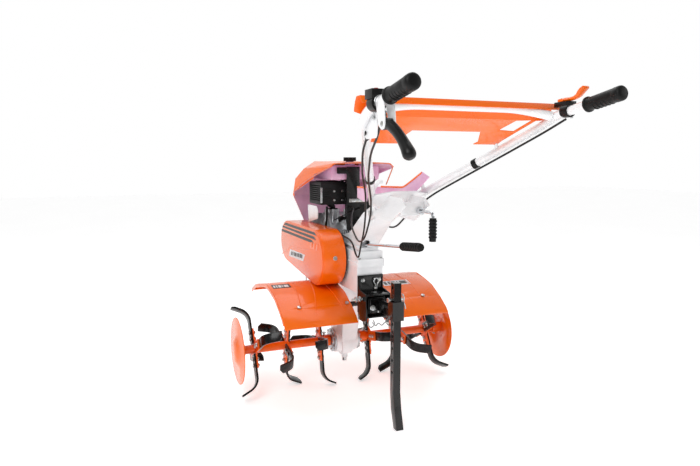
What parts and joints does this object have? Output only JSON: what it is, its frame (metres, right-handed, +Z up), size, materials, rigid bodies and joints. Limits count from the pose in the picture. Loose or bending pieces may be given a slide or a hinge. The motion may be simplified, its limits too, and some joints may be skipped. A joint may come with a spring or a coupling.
{
  "type": "power tiller",
  "caption": "Walk-behind petrol power tiller with twin bladed rotors, end discs, belt drive, V handlebars and a depth bar.",
  "frame": {"origin": "centre of the bounding box at ground level, under the machine", "axes": "+Z up, +Y forwards away from the operator, +X to the operator's right"},
  "size_m": [0.873, 1.4356, 1.0654],
  "materials": {
    "orange_steel": "gloss orange enamel on pressed steel",
    "orange_plastic": "moulded orange plastic",
    "white_paint": "gloss white enamel",
    "cast_white": "die casting painted white",
    "casting": "bare die casting",
    "black_paint": "satin black paint",
    "zinc": "bright zinc plate",
    "chrome": "bright chrome plate",
    "rubber": "moulded rubber",
    "black_plastic": "matt moulded plastic",
    "tank_plastic": "blow moulded plastic",
    "red_plastic": "moulded red plastic"
  },
  "bodies": {
    "chassis": {"gearbox_housing": "cast_white", "gearbox_top_cover": "casting", "bearing_caps": "casting", "drain_plug": "zinc", "drive_chain": "zinc", "fender_left": "orange_steel", "fender_right": "orange_steel", "fender_stays": "black_paint", "belt_cover": "orange_steel", "belt_backplate": "black_paint", "drive_belt": "rubber", "engine_frame": "black_paint", "crankcase": "casting", "cylinder_head": "casting", "spark_plug_cap": "rubber", "muffler": "black_paint", "carburettor": "black_plastic", "recoil_housing": "black_plastic", "fuel_tank": "tank_plastic", "tank_bracket": "black_paint", "bonnet": "orange_plastic", "handlebar_column": "white_paint", "handlebar_pivot_bolt": "zinc", "cables": "rubber", "hitch_bracket": "black_paint", "fixing_bolts": "zinc"},
    "rotor": {"output_shaft": "zinc", "rotor_tubes": "orange_steel", "tines_inner": "black_paint", "tines_middle": "black_paint", "tines_outer": "black_paint", "tine_bolts": "zinc", "side_discs": "orange_steel", "rotor_pins": "zinc"},
    "input_drive": {"input_shaft": "zinc", "input_pulley": "zinc"},
    "crank_drive": {"crankshaft": "zinc", "engine_pulley": "zinc"},
    "tensioner": {"tension_arm": "zinc", "idler_pulley": "zinc"},
    "starter": {"starter_handle": "rubber"},
    "filler_cap": {"fuel_cap": "black_plastic"},
    "handlebars": {"handlebar_bracket": "white_paint", "handlebar_frame": "white_paint", "grips": "rubber", "dash_panel": "orange_plastic", "switch_box": "black_plastic", "throttle_base": "black_plastic", "cable_clips": "rubber", "rear_shroud": "orange_plastic"},
    "clamp": {"clamp_crank": "chrome", "clamp_crank_grip": "rubber"},
    "clutch": {"clutch_lever": "black_plastic"},
    "stop_button": {"kill_button": "red_plastic"},
    "throttle": {"throttle_lever": "orange_plastic"},
    "shift": {"gear_lever": "chrome", "gear_lever_grip": "rubber"},
    "hitch": {"hitch_box": "black_paint"},
    "depth_bar": {"drag_bar": "black_paint", "drag_bar_pin": "zinc"}
  },
  "joints": [
    {"name": "rotor_spin", "type": "hinge", "parent": "chassis", "child": "rotor", "pos_m": [0, 0.3565, 0.17], "axis": [1, 0, 0], "continuous": true},
    {"name": "input_spin", "type": "hinge", "parent": "chassis", "child": "input_drive", "pos_m": [0, 0.2765, 0.515], "axis": [1, 0, 0], "continuous": true},
    {"name": "crank_spin", "type": "hinge", "parent": "chassis", "child": "crank_drive", "pos_m": [0, 0.6285, 0.533], "axis": [1, 0, 0], "continuous": true},
    {"name": "tension_arm_swing", "type": "hinge", "parent": "chassis", "child": "tensioner", "pos_m": [0, 0.3865, 0.548], "axis": [1, 0, 0], "range_deg": [-3.5, 0]},
    {"name": "starter_pull", "type": "slide", "parent": "chassis", "child": "starter", "axis": [0.8, -0.6, 0], "range_m": [0, 0.5], "stiffness_N_per_m": 8},
    {"name": "fuel_cap_turn", "type": "hinge", "parent": "chassis", "child": "filler_cap", "pos_m": [0.05, 0.4125, 0.866], "axis": [0, 0, 1], "range_deg": [0, 90]},
    {"name": "handlebar_tilt", "type": "hinge", "parent": "chassis", "child": "handlebars", "pos_m": [0, 0.0045, 0.697], "axis": [1, 0, 0], "range_deg": [-10, 10], "deforming": ["cables"]},
    {"name": "clamp_crank_turn", "type": "hinge", "parent": "handlebars", "child": "clamp", "pos_m": [0.02, -0.2435, 0.7195], "axis": [0, 1, 0], "continuous": true},
    {"name": "clutch_squeeze", "type": "hinge", "parent": "handlebars", "child": "clutch", "pos_m": [-0.275, -0.5915, 0.948], "axis": [1, 0, 0], "range_deg": [-25, 0], "stiffness_Nm_per_rad": 2},
    {"name": "stop_button_press", "type": "slide", "parent": "handlebars", "child": "stop_button", "axis": [0, 0, -1], "range_m": [0, 0.002], "stiffness_N_per_m": 300},
    {"name": "throttle_turn", "type": "hinge", "parent": "handlebars", "child": "throttle", "pos_m": [0.275, -0.5115, 1.024], "axis": [0, 0, 1], "range_deg": [0, 70]},
    {"name": "gear_shift", "type": "slide", "parent": "chassis", "child": "shift", "axis": [0, -0.9942, 0.108], "range_m": [-0.018, 0.018]},
    {"name": "hitch_swing", "type": "hinge", "parent": "chassis", "child": "hitch", "pos_m": [0, 0.0725, 0.374], "axis": [0, 0, 1], "range_deg": [-12, 12]},
    {"name": "depth_bar_slide", "type": "slide", "parent": "hitch", "child": "depth_bar", "axis": [0, 0, 1], "range_m": [0, 0.08]}
  ],
  "couplings": [
    {"joint": "input_spin", "follows": "rotor_spin", "ratio": 2.4706},
    {"joint": "crank_spin", "follows": "rotor_spin", "ratio": 5.5913},
    {"joint": "tension_arm_swing", "follows": "clutch_squeeze", "ratio": 0.14}
  ]
}
